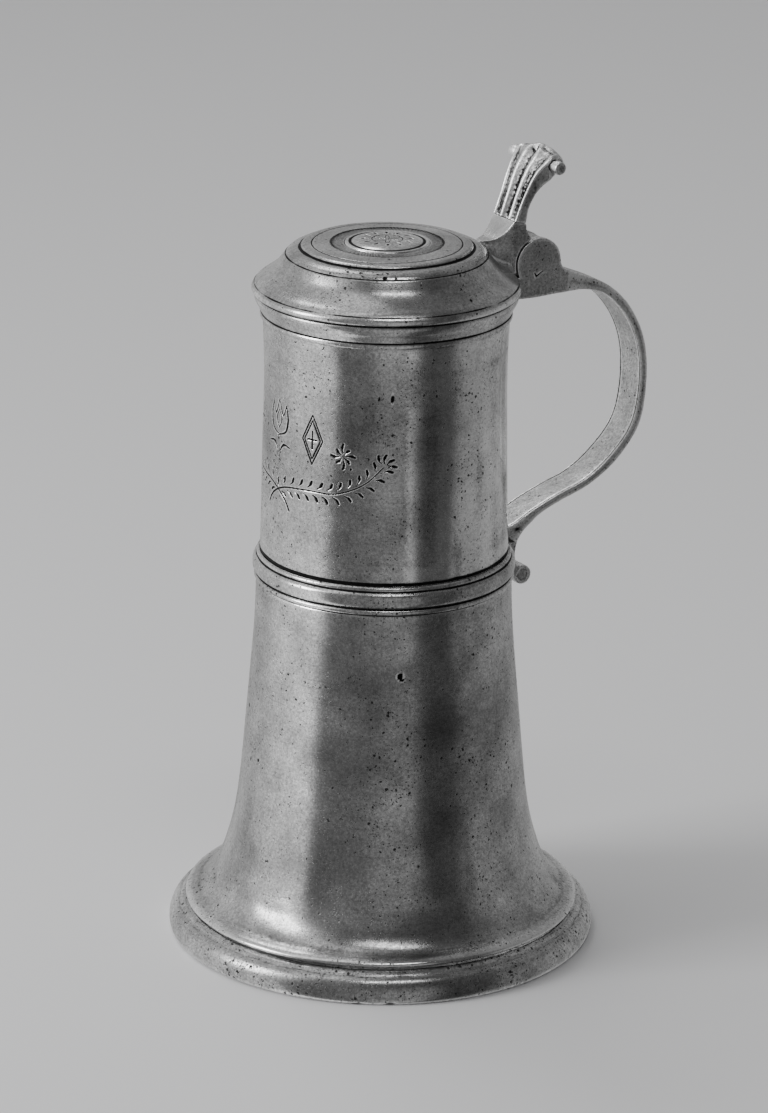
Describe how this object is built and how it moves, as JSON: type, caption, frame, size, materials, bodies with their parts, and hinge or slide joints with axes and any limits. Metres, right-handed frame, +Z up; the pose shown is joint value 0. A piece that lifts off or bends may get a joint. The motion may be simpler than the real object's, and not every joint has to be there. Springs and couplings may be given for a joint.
{
  "type": "pewter tankard",
  "caption": "Tall lidded pewter drinking tankard with a bell-shaped flared foot, a girdled drum, a hinged domed lid with a fluted thumbpiece, and a strap handle.",
  "frame": {"origin": "centre of the foot's flat underside, on the turning axis of the drum", "axes": "+Z up along the drum's axis; +X towards the handle; +Y along the hinge pin"},
  "size_m": [0.1775, 0.1492, 0.2753],
  "materials": {
    "pewter_turned": "satin",
    "pewter_cast": "satin",
    "iron": "matte"
  },
  "bodies": {
    "vessel": {"foot_ring": "pewter_turned", "skirt": "pewter_turned", "base_plate": "pewter_turned", "drum": "pewter_turned", "girdle_band": "pewter_turned", "mouth_band": "pewter_turned", "hinge_block": "pewter_cast", "handle_strap": "pewter_cast", "handle_tail": "pewter_cast", "pin_plug_right": "pewter_cast", "pin_plug_left": "pewter_cast", "hinge_pin": "iron"},
    "lid": {"lid_shell": "pewter_turned", "lid_bezel": "pewter_turned", "lid_medallion": "pewter_turned", "lid_lug": "pewter_cast", "hinge_knuckle": "pewter_cast", "thumbpiece": "pewter_cast"}
  },
  "joints": [
    {"name": "lid_hinge", "type": "hinge", "parent": "vessel", "child": "lid", "pos_m": [0.0568, 0, 0.2347], "axis": [0, 1, 0], "range_deg": [0, 94]}
  ]
}
